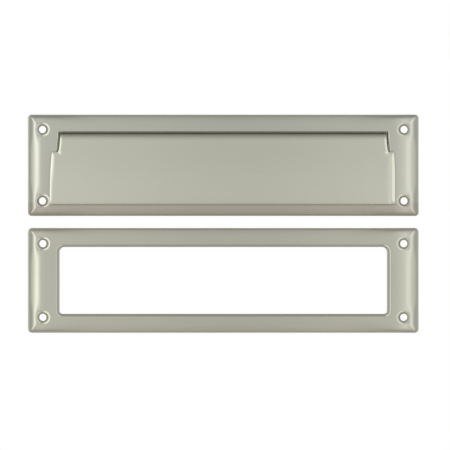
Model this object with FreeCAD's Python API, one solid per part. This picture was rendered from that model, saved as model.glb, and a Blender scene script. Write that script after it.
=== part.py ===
import FreeCAD, Part
import math
import os

# Magazine-size letter plate: exterior plate with a sprung flap on a hinge rod, and the interior
# frame laid out below it, facing the same way. Millimetres.
# Origin: centre of the exterior plate's back plane, the face that lies on the door.
# +X to the right, +Z up; the fronts face -Y, so a more negative y is nearer the viewer.

V = FreeCAD.Vector
SIDES = (-1, 1)            # left, right (or lower, upper)

# Section shared by the exterior plate and the interior frame
PROJECTION = 5.5           # back plane to flat front face
WALL = 2.5                 # wall behind the flat face
FRONT_Y = -PROJECTION
FACE_BACK_Y = FRONT_Y + WALL
RIM_H = 1.2                # upright part of the edge
RIM_W = 1.6                # width of the steep shoulder of the edge
BEVEL_W = 11.5             # edge to where the crown meets the flat face
BEVEL_R = 22.0             # radius of the crown in section
BACK_RIM = 5.5             # solid border that lies on the door
HOLLOW_R = 3.0             # corner radius of the hollowed back
PAD = 6.7                  # half size of the solid pad behind each screw hole

# Screw holes
HOLE_R = 3.1
SINK_R = 4.5               # top of the 90 degree countersink
LIP_R = 6.6                # shallow dish blends into the face here
LIP_TILT = 22.0            # slope of the dish where it meets the countersink, degrees

# How far cutters run past the metal
THROUGH = 20.0
PAST_BACK = 3.0
OVERRUN = 2.0
END_OVERRUN = 1.0

# Hinge axis, parallel to X, and the rod on it
AXIS_Y = 3.0
AXIS_Z = 18.5
ROD_R = 1.5


# ---------------------------------------------------------------- helpers
def around_axis(radius, angle):
    """(y, z) of a point round the hinge axis; 0 degrees is towards +Y, 90 is up."""
    turn = math.radians(angle)
    return AXIS_Y + radius * math.cos(turn), AXIS_Z + radius * math.sin(turn)


def axis_cylinder(radius, x0, x1):
    return Part.makeCylinder(radius, x1 - x0, V(x0, AXIS_Y, AXIS_Z), V(1, 0, 0))


def span(side, inner, outer):
    """Lowest and highest x of a feature between two distances from the centre."""
    return (inner, outer) if side > 0 else (-outer, -inner)


def line(start, end):
    return Part.LineSegment(start, end).toShape()


def arc(start, middle, end):
    return Part.Arc(start, middle, end).toShape()


def side_prism(points, x0, x1):
    """Straight-sided (y, z) profile made solid from x0 to x1."""
    corners = [V(x0, y, z) for y, z in points]
    return Part.Face(Part.makePolygon(corners + [corners[0]])).extrude(V(x1 - x0, 0, 0))


def outline(points, y):
    """Wire at depth y through (x, z, corner radius) points, in order."""
    corners = []
    for i, (x, z, radius) in enumerate(points):
        corner = V(x, y, z)
        if radius <= 0:
            corners.append((corner, None, corner))
            continue
        before = points[i - 1]
        after = points[(i + 1) % len(points)]
        to_before = (V(before[0], y, before[1]) - corner).normalize()
        to_after = (V(after[0], y, after[1]) - corner).normalize()
        half_angle = to_before.getAngle(to_after) / 2.0
        setback = radius / math.tan(half_angle)
        inward = (to_before + to_after).normalize()
        centre = corner + inward * (radius / math.sin(half_angle))
        corners.append((corner + to_before * setback, centre - inward * radius,
                        corner + to_after * setback))
    edges = []
    for i, (start, middle, end) in enumerate(corners):
        if middle is not None:
            edges.append(arc(start, middle, end))
        next_start = corners[(i + 1) % len(corners)][0]
        if (next_start - end).Length > 1e-6:
            edges.append(line(end, next_start))
    return Part.Wire(edges)


def front_prism(points, y0, y1):
    """(x, z, corner radius) outline made solid from depth y0 to y1."""
    return Part.Face(outline(points, y0)).extrude(V(0, y1 - y0, 0))


def rectangle(half_x, half_z, centre_z, radius):
    low, high = centre_z - half_z, centre_z + half_z
    return [(-half_x, low, radius), (half_x, low, radius),
            (half_x, high, radius), (-half_x, high, radius)]


def mirrored(shape):
    return shape.mirror(V(0, 0, 0), V(1, 0, 0))


# ---------------------------------------------------------------- crowned plates
def crown_section(half, place):
    """Crowned section across one direction; place(across, height) gives the 3-D point."""
    def crown_height(inset):
        return PROJECTION - BEVEL_R + math.sqrt(BEVEL_R ** 2 - (BEVEL_W - inset) ** 2)

    shoulder_h = crown_height(RIM_W)
    crown_mid = (BEVEL_W + RIM_W) / 2.0
    # The shoulder arc leaves the crown tangent to it and ends at the upright rim
    rise = shoulder_h - RIM_H
    chord = math.hypot(RIM_W, rise)
    slope = math.atan2(rise, RIM_W)
    turn = slope - math.asin((BEVEL_W - RIM_W) / BEVEL_R)
    sag = chord / 2.0 * math.tan(turn / 2.0)
    shoulder_mid = (RIM_W / 2.0 - sag * math.sin(slope),
                    (RIM_H + shoulder_h) / 2.0 + sag * math.cos(slope))

    def at(inset, height, side):
        return place(side * (half - inset), height)

    edges = []
    for side in SIDES:
        rim_top = at(0, RIM_H, side)
        crown_start = at(RIM_W, shoulder_h, side)
        edges.append(line(at(0, 0, side), rim_top))
        edges.append(arc(rim_top, at(*shoulder_mid, side), crown_start))
        edges.append(arc(crown_start, at(crown_mid, crown_height(crown_mid), side),
                         at(BEVEL_W, PROJECTION, side)))
    edges.append(line(at(BEVEL_W, PROJECTION, -1), at(BEVEL_W, PROJECTION, 1)))
    edges.append(line(at(0, 0, -1), at(0, 0, 1)))
    return Part.Face(Part.Wire(Part.__sortEdges__(edges)))


def crowned_slab(width, height, centre_z, corner_r):
    """Solid slab with a crowned edge all round and mitred corners."""
    left = -width / 2.0 - END_OVERRUN
    bottom = centre_z - height / 2.0 - END_OVERRUN
    along_x = crown_section(height / 2.0, lambda across, h: V(left, -h, centre_z + across))
    along_x = along_x.extrude(V(width + 2 * END_OVERRUN, 0, 0))
    along_z = crown_section(width / 2.0, lambda across, h: V(across, -h, bottom))
    along_z = along_z.extrude(V(0, 0, height + 2 * END_OVERRUN))
    trim = front_prism(rectangle(width / 2.0, height / 2.0, centre_z, corner_r), -THROUGH, 5)
    return along_x.common(along_z).common(trim)


def back_hollow(width, height, holes_x, holes_z, centre_z):
    """Cutter for the hollow back, less the solid corner pads behind the screw holes."""
    hollow = front_prism(rectangle(width / 2.0 - BACK_RIM, height / 2.0 - BACK_RIM,
                                   centre_z, HOLLOW_R), FACE_BACK_Y, PAST_BACK)
    pad_x = holes_x / 2.0 - PAD
    pad_z = holes_z / 2.0 - PAD
    for side_x in SIDES:
        for side_z in SIDES:
            corner = V(min(side_x * pad_x, side_x * width / 2.0), -WALL - OVERRUN,
                       centre_z + min(side_z * pad_z, side_z * height / 2.0))
            hollow = hollow.cut(Part.makeBox(width / 2.0 - pad_x, WALL + 2 * OVERRUN,
                                             height / 2.0 - pad_z, corner))
    return hollow


def round_slot(shape, radius, half_x, z_min, z_max):
    """Round the front-face edges that lie inside the given x and z limits."""
    edges = []
    for edge in shape.Edges:
        box = edge.BoundBox
        on_front = abs(box.YMin - FRONT_Y) < 1e-4 and abs(box.YMax - FRONT_Y) < 1e-4
        if (on_front and box.XMin > -half_x and box.XMax < half_x
                and box.ZMin > z_min and box.ZMax < z_max):
            edges.append(edge)
    return shape.makeFillet(radius, edges)


def screw_cutter(x, z):
    """Through hole, 90 degree sink and shallow rolled dish."""
    tilt = math.radians(LIP_TILT)
    roll_r = (LIP_R - SINK_R) / math.sin(tilt)
    sink_y = FRONT_Y + roll_r * (1 - math.cos(tilt))
    roll_mid = V(LIP_R - roll_r * math.sin(tilt / 2.0),
                 FRONT_Y + roll_r * (1 - math.cos(tilt / 2.0)), 0)
    axis_back = V(0, PAST_BACK, 0)
    hole_back = V(HOLE_R, PAST_BACK, 0)
    sink_bottom = V(HOLE_R, sink_y + (SINK_R - HOLE_R), 0)
    sink_top = V(SINK_R, sink_y, 0)
    lip = V(LIP_R, FRONT_Y, 0)
    lip_front = V(LIP_R, FRONT_Y - OVERRUN, 0)
    axis_front = V(0, FRONT_Y - OVERRUN, 0)
    profile = Part.Wire([
        line(axis_back, hole_back), line(hole_back, sink_bottom), line(sink_bottom, sink_top),
        arc(sink_top, roll_mid, lip),
        line(lip, lip_front), line(lip_front, axis_front), line(axis_front, axis_back)])
    cutter = Part.Face(profile).revolve(V(0, 0, 0), V(0, 1, 0), 360)
    cutter.translate(V(x, 0, z))
    return cutter


def cut_screw_holes(shape, pitch_x, pitch_z, centre_z):
    for side_x in SIDES:
        for side_z in SIDES:
            shape = shape.cut(screw_cutter(side_x * pitch_x / 2.0,
                                           centre_z + side_z * pitch_z / 2.0))
    return shape


# ---------------------------------------------------------------- exterior plate
PLATE_W = 333.4
PLATE_H = 86.5
PLATE_CORNER_R = 3.2
PLATE_HOLES_X = 308.0      # screw hole pitches
PLATE_HOLES_Z = 60.8

OPEN_TOP = 28.3
OPEN_BOTTOM = -27.5
# Right side of the slot, top to bottom: (z, half width)
OPEN_SIDE = [(OPEN_TOP, 140.3), (24.0, 140.5), (17.5, 140.95),
             (12.5, 141.6), (8.0, 142.3), (OPEN_BOTTOM, 142.5)]
OPEN_R_TOP = 2.0
OPEN_R_BOTTOM = 2.5
OPEN_EDGE_R = 0.6
FLANGE = 2.0               # upright wall along the bottom and lower sides of the slot
FLANGE_TOP = 2.0           # it stops below the spring feet

# Drafted underside of the top rail, clears the open flap
DRAFT = 0.26               # rise per mm of depth
DRAFT_OVERRUN = 0.1
DRAFT_END_Y = -1.0
DRAFT_CUT_H = 1.9          # cutter's reach below the slot's top
DRAFT_SIDE_GAP = 0.05

# Lugs that carry the rod, one behind each side of the slot
LUG_IN, LUG_OUT = 142.7, 146.6
LUG_R = 4.2
LUG_BORE_R = ROD_R + 0.05
FOOT_SINK = 0.6            # foot's depth into the plate's wall
FOOT_BELOW, FOOT_ABOVE = 6.0, 8.0          # foot's reach from the axis
FOOT_OVERLAP = 1.0         # foot's depth into the cheek
CHEEK_IN = 139.6           # the cheek closes the gap beside the flap's neck
CHEEK_FRONT = 0.1
CHEEK_T = 2.2              # thickness at the cheek's top and bottom
CHEEK_TOP, CHEEK_BOTTOM = 30.3, 10.5
CHEEK_UPPER_ANGLE, CHEEK_LOWER_ANGLE = 35, -50     # where the cheek meets the lug's round


def slot_outline():
    top_x = OPEN_SIDE[0][1]
    bottom_x = OPEN_SIDE[-1][1]
    flank = OPEN_SIDE[1:-1]
    points = [(-bottom_x, OPEN_BOTTOM, OPEN_R_BOTTOM), (bottom_x, OPEN_BOTTOM, OPEN_R_BOTTOM)]
    points += [(x, z, 0) for z, x in reversed(flank)]
    points += [(top_x, OPEN_TOP, OPEN_R_TOP), (-top_x, OPEN_TOP, OPEN_R_TOP)]
    points += [(-x, z, 0) for z, x in flank]
    return points


def draft_cutter():
    half_x = OPEN_SIDE[0][1] - DRAFT_SIDE_GAP
    front = FRONT_Y - DRAFT_OVERRUN
    low = OPEN_TOP - DRAFT_CUT_H
    return side_prism([(front, OPEN_TOP - DRAFT_OVERRUN * DRAFT),
                       (DRAFT_END_Y, OPEN_TOP + DRAFT * (DRAFT_END_Y - FRONT_Y)),
                       (DRAFT_END_Y, low), (front, low)], -half_x, half_x)


def add_lug(plate, side):
    x0, x1 = span(side, LUG_IN, LUG_OUT)
    foot_front = FACE_BACK_Y - FOOT_SINK
    foot_back = CHEEK_FRONT + FOOT_OVERLAP
    foot_low, foot_high = AXIS_Z - FOOT_BELOW, AXIS_Z + FOOT_ABOVE
    foot = side_prism([(foot_front, foot_low), (foot_front, foot_high),
                       (foot_back, foot_high), (foot_back, foot_low)], x0, x1)
    x0, x1 = span(side, CHEEK_IN, LUG_OUT)
    cheek_back = CHEEK_FRONT + CHEEK_T
    cheek = side_prism([(CHEEK_FRONT, CHEEK_BOTTOM), (CHEEK_FRONT, CHEEK_TOP),
                        (cheek_back, CHEEK_TOP),
                        around_axis(LUG_R, CHEEK_UPPER_ANGLE),
                        around_axis(LUG_R, CHEEK_LOWER_ANGLE),
                        (cheek_back, CHEEK_BOTTOM)], x0, x1)
    plate = plate.fuse(foot.fuse(cheek).fuse(axis_cylinder(LUG_R, x0, x1)))
    return plate.cut(axis_cylinder(LUG_BORE_R, x0 - END_OVERRUN, x1 + END_OVERRUN))


def make_plate():
    plate = crowned_slab(PLATE_W, PLATE_H, 0.0, PLATE_CORNER_R)
    hollow = back_hollow(PLATE_W, PLATE_H, PLATE_HOLES_X, PLATE_HOLES_Z, 0.0)
    flange_x = OPEN_SIDE[-1][1] + FLANGE
    flange_z = OPEN_BOTTOM - FLANGE
    hollow = hollow.cut(Part.makeBox(2 * flange_x, 20, FLANGE_TOP - flange_z,
                                     V(-flange_x, -10, flange_z)))
    plate = plate.cut(hollow)
    plate = plate.cut(front_prism(slot_outline(), -THROUGH, THROUGH))
    plate = plate.cut(draft_cutter())
    plate = round_slot(plate, OPEN_EDGE_R, OPEN_SIDE[-1][1] + 1.0,
                       OPEN_BOTTOM - 0.5, OPEN_TOP + 0.5)
    plate = cut_screw_holes(plate, PLATE_HOLES_X, PLATE_HOLES_Z, 0.0)
    for side in SIDES:
        plate = add_lug(plate, side)
    return plate.removeSplitter()


# ---------------------------------------------------------------- flap
FLAP_FRONT = -8.15
FLAP_T = 2.5
FLAP_BACK = FLAP_FRONT + FLAP_T
NECK_R = AXIS_Y - FLAP_FRONT          # outer radius of the curled neck
NECK_INNER_R = NECK_R - FLAP_T
NECK_START, NECK_END = 180.0, 84.0    # angles of the curl round the hinge axis
SHOULDER_Z = 11.2
FLAP_BOTTOM = -33.7
# Right side of the flap, top to bottom: (z, half width)
NECK_SIDE = [(40.0, 139.1), (21.0, 139.1), (17.5, 139.3), (13.2, 139.9), (SHOULDER_Z, 140.5)]
WIDE_SIDE = [(SHOULDER_Z, 145.6), (3.0, 146.2), (-10.0, 146.6), (FLAP_BOTTOM, 146.7)]
FLAP_R_BOTTOM = 2.0
FLAP_R_SHOULDER = 0.5
SHEET_HALF = 150.0         # half length of the sheet before it is trimmed to outline
BLANK_Y, BLANK_DEPTH = -14, 34        # trimming outline's start and depth

# Ears on the flap's back that ride on the rod
EAR_IN, EAR_OUT = 118.0, 122.0
EAR_R = 4.5
EAR_BORE_R = ROD_R + 0.06
EAR_SINK = 0.4             # web's depth into the flap
EAR_WEB_BELOW = 10.0       # web's reach below the axis
EAR_WEB_ANGLE = 135        # where the web ends inside the neck


def curled_sheet():
    def at(radius, angle):
        return V(0, *around_axis(radius, angle))

    middle = (NECK_START + NECK_END) / 2.0
    front_bottom = V(0, FLAP_FRONT, FLAP_BOTTOM)
    back_bottom = V(0, FLAP_BACK, FLAP_BOTTOM)
    section = Part.Wire([
        line(front_bottom, V(0, FLAP_FRONT, AXIS_Z)),
        arc(at(NECK_R, NECK_START), at(NECK_R, middle), at(NECK_R, NECK_END)),
        line(at(NECK_R, NECK_END), at(NECK_INNER_R, NECK_END)),
        arc(at(NECK_INNER_R, NECK_END), at(NECK_INNER_R, middle), at(NECK_INNER_R, NECK_START)),
        line(V(0, FLAP_BACK, AXIS_Z), back_bottom),
        line(back_bottom, front_bottom)])
    sheet = Part.Face(section)
    sheet.translate(V(-SHEET_HALF, 0, 0))
    return sheet.extrude(V(2 * SHEET_HALF, 0, 0))


def side_curve(points, side):
    curve = Part.BSplineCurve()
    curve.interpolate([V(side * x, 0, z) for z, x in points])
    return curve.toShape()


def flap_outline():
    """Closed outline of the flap with smooth flared sides."""
    top_z, top_x = NECK_SIDE[0]
    bottom_x = WIDE_SIDE[-1][1]
    edges = []
    for side in SIDES:
        edges.append(side_curve(NECK_SIDE, side))
        edges.append(side_curve(WIDE_SIDE, side))
        edges.append(line(V(side * NECK_SIDE[-1][1], 0, SHOULDER_Z),
                          V(side * WIDE_SIDE[0][1], 0, SHOULDER_Z)))
    edges.append(line(V(-top_x, 0, top_z), V(top_x, 0, top_z)))
    edges.append(line(V(-bottom_x, 0, FLAP_BOTTOM), V(bottom_x, 0, FLAP_BOTTOM)))
    return Part.Wire(Part.__sortEdges__(edges))


def round_corners(blank, z, radius):
    """Round the blank's front-to-back edges at height z."""
    edges = [edge for edge in blank.Edges
             if edge.BoundBox.YLength > 30 and edge.BoundBox.XLength < 1e-3
             and abs(edge.BoundBox.ZMin - z) < 1e-3]
    return blank.makeFillet(radius, edges)


def round_front(flap):
    """Round the front outline, neck sides included where possible."""
    face_edges, curl_edges = [], []
    for edge in flap.Edges:
        box = edge.BoundBox
        on_front = abs(box.YMin - FLAP_FRONT) < 1e-4 and abs(box.YMax - FLAP_FRONT) < 1e-4
        if on_front and box.ZMin < AXIS_Z - 1e-3:
            face_edges.append(edge)
        elif (box.ZMin > AXIS_Z - 1e-3 and box.XLength < 1.0
                and box.YMin < FLAP_FRONT + 1e-3 and box.YLength > 1):
            curl_edges.append(edge)
    all_edges = face_edges + curl_edges
    for edges, radius in ((all_edges, 1.5), (all_edges, 1.2), (all_edges, 0.6),
                          (face_edges, 1.2), (face_edges, 0.6)):
        # The fillet can fail where the flared sides meet the curl; the next choice is then
        # tried, and the edges stay square if none works
        try:
            rounded = flap.makeFillet(radius, edges)
            if rounded.isValid() and rounded.Volume > 0.9 * flap.Volume:
                return rounded
        except Exception:
            continue
    return flap


def add_ear(flap, side):
    x0, x1 = span(side, EAR_IN, EAR_OUT)
    web_front = FLAP_BACK - EAR_SINK
    web = side_prism([(AXIS_Y, AXIS_Z - EAR_R), (web_front, AXIS_Z - EAR_WEB_BELOW),
                      (web_front, AXIS_Z),
                      around_axis(NECK_INNER_R + EAR_SINK, EAR_WEB_ANGLE),
                      (AXIS_Y, AXIS_Z + EAR_R)], x0, x1)
    flap = flap.fuse(web.fuse(axis_cylinder(EAR_R, x0, x1)))
    return flap.cut(axis_cylinder(EAR_BORE_R, x0 - END_OVERRUN, x1 + END_OVERRUN))


def make_flap():
    face = Part.Face(flap_outline())
    face.translate(V(0, BLANK_Y, 0))
    blank = face.extrude(V(0, BLANK_DEPTH, 0))
    blank = round_corners(blank, FLAP_BOTTOM, FLAP_R_BOTTOM)
    blank = round_corners(blank, SHOULDER_Z, FLAP_R_SHOULDER)
    flap = round_front(curled_sheet().common(blank))
    for side in SIDES:
        flap = add_ear(flap, side)
    return flap.removeSplitter()


# ---------------------------------------------------------------- hinge rod
ROD_HALF = 149.5
ROD_CHAMFER = 0.35
GROOVE_R = 1.15
GROOVE_IN, GROOVE_OUT = 146.68, 147.42


def make_rod():
    rod = axis_cylinder(ROD_R, -ROD_HALF, ROD_HALF)
    for side in SIDES:
        x0, x1 = span(side, GROOVE_IN, GROOVE_OUT)
        core = axis_cylinder(GROOVE_R, x0 - END_OVERRUN, x1 + END_OVERRUN)
        rod = rod.cut(axis_cylinder(ROD_R + 1, x0, x1).cut(core))
    ends = [edge for edge in rod.Edges
            if abs(abs(edge.BoundBox.Center.x) - ROD_HALF) < 1e-3]
    return rod.makeChamfer(ROD_CHAMFER, ends)


# ---------------------------------------------------------------- retaining clip
CLIP_GAP = 0.06            # clearance to each wall of the groove
CLIP_IN, CLIP_OUT = GROOVE_IN + CLIP_GAP, GROOVE_OUT - CLIP_GAP
CLIP_R = 3.2
CLIP_BORE_R = 1.2
MOUTH_W = 2.0
MOUTH_LENGTH = 5
NOTCH_R = 0.62             # two round notches in the bore
NOTCH_PLACE_R = 1.55
NOTCH_ANGLES = (35.0, 145.0)


def make_clip():
    """Right-hand clip, with its mouth facing down."""
    clip = axis_cylinder(CLIP_R, CLIP_IN, CLIP_OUT)
    clip = clip.cut(axis_cylinder(CLIP_BORE_R, CLIP_IN - END_OVERRUN, CLIP_OUT + END_OVERRUN))
    clip = clip.cut(Part.makeBox(5, MOUTH_W, MOUTH_LENGTH,
                                 V(CLIP_IN - 2, AXIS_Y - MOUTH_W / 2.0, AXIS_Z - MOUTH_LENGTH)))
    for angle in NOTCH_ANGLES:
        start = V(CLIP_IN - END_OVERRUN, *around_axis(NOTCH_PLACE_R, angle))
        clip = clip.cut(Part.makeCylinder(NOTCH_R, 4, start, V(1, 0, 0)))
    return clip


# ---------------------------------------------------------------- torsion spring
WIRE_R = 0.45
COIL_R = 2.5
COIL_TURNS = 10.0 - 49.3 / 360.0
COIL_PITCH = 1.0
COIL_OUTER_X = 134.6
LEG_TIP_R = 8.42           # puts the tip at the inside of the curled neck
LEG_TIP_ANGLE = 141.7
SPRING_FOOT_Z = 8.0
SPRING_FOOT_X = 145.2
SPRING_FOOT_GAP = 0.05     # clearance to the back of the plate
JOINT_R = WIRE_R + 0.01    # balls that join the wire's straight parts


def wire_between(start, end):
    return Part.makeCylinder(WIRE_R, (end - start).Length, start, end - start)


def make_spring():
    """Right-hand spring: foot behind the plate, coil round the rod, leg on the flap's neck."""
    foot_y = FACE_BACK_Y + WIRE_R + SPRING_FOOT_GAP
    dy, dz = foot_y - AXIS_Y, SPRING_FOOT_Z - AXIS_Z
    foot_angle = math.degrees(math.atan2(dz, dy)) % 360.0
    # The wire leaves the coil tangent to it, straight to the foot
    outer_angle = foot_angle - math.degrees(math.acos(COIL_R / math.hypot(dy, dz)))
    inner_angle = outer_angle - 360.0 * COIL_TURNS
    length = COIL_PITCH * COIL_TURNS
    inner_x = COIL_OUTER_X - length

    helix = Part.makeHelix(COIL_PITCH, length, COIL_R)
    lead = math.atan2(COIL_PITCH, 2 * math.pi * COIL_R)
    wire_circle = Part.Circle(V(COIL_R, 0, 0), V(0, math.cos(lead), math.sin(lead)), WIRE_R)
    ring = Part.Wire(wire_circle.toShape())
    coil = Part.Wire(helix.Edges).makePipeShell([ring], True, True)
    cosine, sine = math.cos(math.radians(inner_angle)), math.sin(math.radians(inner_angle))
    turn = FreeCAD.Rotation(V(0, cosine, sine), V(0, -sine, cosine), V(1, 0, 0), "ZXY")
    coil.Placement = FreeCAD.Placement(V(inner_x, AXIS_Y, AXIS_Z), turn)

    inner_end = V(inner_x, *around_axis(COIL_R, inner_angle))
    leg_tip = V(inner_x, *around_axis(LEG_TIP_R, LEG_TIP_ANGLE))
    outer_end = V(COIL_OUTER_X, *around_axis(COIL_R, outer_angle))
    foot = V(COIL_OUTER_X, foot_y, SPRING_FOOT_Z)
    foot_end = V(SPRING_FOOT_X, foot_y, SPRING_FOOT_Z)
    spring = coil
    for start, end in ((inner_end, leg_tip), (outer_end, foot), (foot, foot_end)):
        spring = spring.fuse(Part.makeSphere(JOINT_R, start))
        spring = spring.fuse(wire_between(start, end))
    return spring


# ---------------------------------------------------------------- interior frame
FRAME_W = PLATE_W
FRAME_H = 89.5
FRAME_Z = -98.2            # height of the frame's centre
FRAME_CORNER_R = 3.6
FRAME_HOLES_X = 307.4      # screw hole pitches
FRAME_HOLES_Z = 62.8
FRAME_OPEN_W = 279.0
FRAME_OPEN_H = 56.9
FRAME_R_TOP = 4.3
FRAME_R_BOTTOM = 2.6
FRAME_LIP_R = 2.4
FRAME_FLANGE = 4.0         # upright wall all round the opening


def make_frame():
    half_x, half_z = FRAME_OPEN_W / 2.0, FRAME_OPEN_H / 2.0
    low, high = FRAME_Z - half_z, FRAME_Z + half_z
    frame = crowned_slab(FRAME_W, FRAME_H, FRAME_Z, FRAME_CORNER_R)
    hollow = back_hollow(FRAME_W, FRAME_H, FRAME_HOLES_X, FRAME_HOLES_Z, FRAME_Z)
    flange = rectangle(half_x + FRAME_FLANGE, half_z + FRAME_FLANGE, FRAME_Z,
                       FRAME_R_TOP + FRAME_FLANGE)
    hollow = hollow.cut(front_prism(flange, -THROUGH, THROUGH))
    frame = frame.cut(hollow)
    opening = [(-half_x, low, FRAME_R_BOTTOM), (half_x, low, FRAME_R_BOTTOM),
               (half_x, high, FRAME_R_TOP), (-half_x, high, FRAME_R_TOP)]
    frame = frame.cut(front_prism(opening, -THROUGH, THROUGH))
    frame = round_slot(frame, FRAME_LIP_R, half_x + 0.5, low - 0.5, high + 0.5)
    frame = cut_screw_holes(frame, FRAME_HOLES_X, FRAME_HOLES_Z, FRAME_Z)
    return frame.removeSplitter()


# ---------------------------------------------------------------- output
clip_right = make_clip()
spring_right = make_spring()
pieces = {
    "exterior_plate": make_plate(),
    "flap": make_flap(),
    "hinge_rod": make_rod(),
    "torsion_spring_left": mirrored(spring_right),
    "torsion_spring_right": spring_right,
    "rod_clip_left": mirrored(clip_right),
    "rod_clip_right": clip_right,
    "interior_frame": make_frame(),
}
os.makedirs("parts", exist_ok=True)
for name, shape in pieces.items():
    solids = shape.Solids
    piece = solids[0] if len(solids) == 1 else shape
    piece.exportStep("parts/%s.step" % name)
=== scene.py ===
# Door slot in satin nickel: an exterior plate with a sprung flap hung on a rod behind its opening,
# and a separate interior frame. X runs along the slot, Z is up and the visible faces look to -Y.
# The back planes of plate and frame lie at y = 0. Sizes are in millimetres unless noted, and
# are turned into metres by MM when a mesh is made.
import math

import bmesh
import bpy
import numpy as np
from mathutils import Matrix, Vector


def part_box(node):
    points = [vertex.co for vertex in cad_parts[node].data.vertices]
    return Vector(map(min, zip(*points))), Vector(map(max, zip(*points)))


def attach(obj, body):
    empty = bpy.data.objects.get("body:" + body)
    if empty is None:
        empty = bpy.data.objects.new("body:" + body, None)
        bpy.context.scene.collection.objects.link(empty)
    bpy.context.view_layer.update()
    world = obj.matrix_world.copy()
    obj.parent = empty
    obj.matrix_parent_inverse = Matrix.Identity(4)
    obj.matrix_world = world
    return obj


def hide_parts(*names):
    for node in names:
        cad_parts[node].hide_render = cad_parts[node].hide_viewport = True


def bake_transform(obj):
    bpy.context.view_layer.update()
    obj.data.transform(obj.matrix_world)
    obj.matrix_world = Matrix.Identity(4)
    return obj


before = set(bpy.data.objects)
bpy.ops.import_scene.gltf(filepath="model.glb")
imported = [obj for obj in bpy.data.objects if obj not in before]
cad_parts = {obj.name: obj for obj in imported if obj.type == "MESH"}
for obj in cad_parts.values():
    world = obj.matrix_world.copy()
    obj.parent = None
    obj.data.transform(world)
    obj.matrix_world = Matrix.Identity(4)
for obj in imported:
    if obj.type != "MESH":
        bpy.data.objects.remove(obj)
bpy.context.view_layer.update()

MM = 0.001
scene = bpy.context.scene


# ------------------------------------------------------------------ shared sizes
def node_box(name):
    low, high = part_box(name)
    return np.array(low) / MM, np.array(high) / MM


PLATE_LO, PLATE_HI = node_box("exterior_plate")
FRAME_LO, FRAME_HI = node_box("interior_frame")
FLAP_LO, _ = node_box("flap")
FRAME_MID_Z = (FRAME_LO[2] + FRAME_HI[2]) / 2
FACE = -PLATE_LO[1]                     # height of the flat face above the back plane
EDGE_H = 1.2                            # upright part of the outer edge
CROWN_W = 11.5                          # width of the crown along the outline
FLOOR_Y = -3.0                          # floor of the hollow back
BACK_RIM = 5.5                          # width of the solid rim round the back
BACK_STEP = 0.4                         # width of the slope from the back plane to the floor
HOLE_R, SINK_R, DISH_R = 3.1, 4.5, 6.6  # screw hole, its countersink, the dish round it
PAD = 6.7                               # half side of the solid square round a screw hole
AXIS_Y, AXIS_Z = 3.0, 18.5              # axis of the hinge rod
SHARP_DEG = 32.0                        # edges steeper than this are shaded sharp
EDGE_STEPS = [0, 0.08, 0.25, 0.5, 0.8, 1.15, 1.6, 2.1, 2.7, 3.3, 3.9, 4.5, 5.1,
              BACK_RIM, BACK_RIM + BACK_STEP]    # lattice lines inwards from the outline


# ------------------------------------------------------------------ numeric helpers
def step(x, low, high):
    t = np.clip((np.asarray(x, float) - low) / (high - low), 0, 1)
    return t * t * (3 - 2 * t)


def near_edge(distance, width):
    """1 on an edge, falling evenly to 0 at width from it."""
    return np.clip(1 - distance / width, 0, 1)


def quarter_round(t):
    return 1 - np.sqrt(np.clip(1 - t * t, 0, 1))


def arc_sag(radius, reach):
    return radius - np.sqrt(radius * radius - reach ** 2)


def drop_from_slopes(distance, stations, samples):
    """Drop of a surface whose slope is listed as (distance, slope); 0 at the last station."""
    places, slopes = zip(*stations)
    at = np.linspace(places[0], places[-1], samples)
    slope = np.interp(at, places, slopes)
    pieces = (slope[:-1] + slope[1:]) / 2 * np.diff(at)
    return np.interp(distance, at, np.concatenate([np.cumsum(pieces[::-1])[::-1], [0.0]]))


def fill_lines(keys, gap):
    """Sorted line positions: every key kept, wide gaps filled evenly. gap is a function of position."""
    keys = sorted(keys)
    clean = [keys[0]]
    for key in keys[1:]:
        if key - clean[-1] > 0.03:
            clean.append(key)
    lines = [clean[0]]
    for a, b in zip(clean[:-1], clean[1:]):
        n = max(1, int(math.ceil((b - a) / gap((a + b) / 2.0) - 1e-6)))
        lines += [a + (b - a) * i / n for i in range(1, n + 1)]
    return np.array(lines)


def clear_of(lines, fixed, gap):
    """Drops the lines that stand within gap of a fixed one, and keeps the fixed ones."""
    return [p for p in lines if all(abs(p - f) > gap or p == f for f in fixed)]


def mirrored(half):
    return np.concatenate([-half[::-1][:-1], half])


def corner_shift(u, v, r, reach, inside):
    """Shift of lattice points, in a corner's own axes, that rounds the square corner to radius r.
    inside True: points with u, v > 0 belong to the sheet (an outer corner);
    False: the sheet is the other three quadrants (a corner of an opening)."""
    if inside:
        near = np.minimum(u, v)
        s = np.maximum(u, v) - near
    else:
        s = np.clip(np.maximum(u, v), 0, None)
        near = np.where((u <= 0) & (v <= 0), np.maximum(-u, -v), -np.minimum(u, v))
    near = np.clip(near, 0, None)
    fade = np.where(s < r, 1 - step(near, 0, reach), 0.0)
    phi = (math.pi / 4) * (1 - np.clip(s / r, 0, 1))
    along = r - r * np.sin(phi) - s
    across = r - r * np.cos(phi)
    first = u >= v                       # s runs along u
    return np.where(first, along, across) * fade, np.where(first, across, along) * fade


def rounded_sdf(x, z, half_x, z0, z1, r0, r1):
    """Signed distance to a rounded rectangle, positive outside; r0 at the bottom, r1 at the top."""
    mid, half_z = (z0 + z1) / 2, (z1 - z0) / 2
    r = np.where(z > mid, r1, r0)
    qx, qz = np.abs(x) - half_x + r, np.abs(z - mid) - half_z + r
    return np.hypot(np.maximum(qx, 0), np.maximum(qz, 0)) + np.minimum(np.maximum(qx, qz), 0) - r


# ------------------------------------------------------------------ mesh helpers
def smooth(obj, sharp=SHARP_DEG):
    mesh = obj.data
    mesh.polygons.foreach_set("use_smooth", [True] * len(mesh.polygons))
    mesh.set_sharp_from_angle(angle=math.radians(sharp))
    mesh.update()


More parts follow.
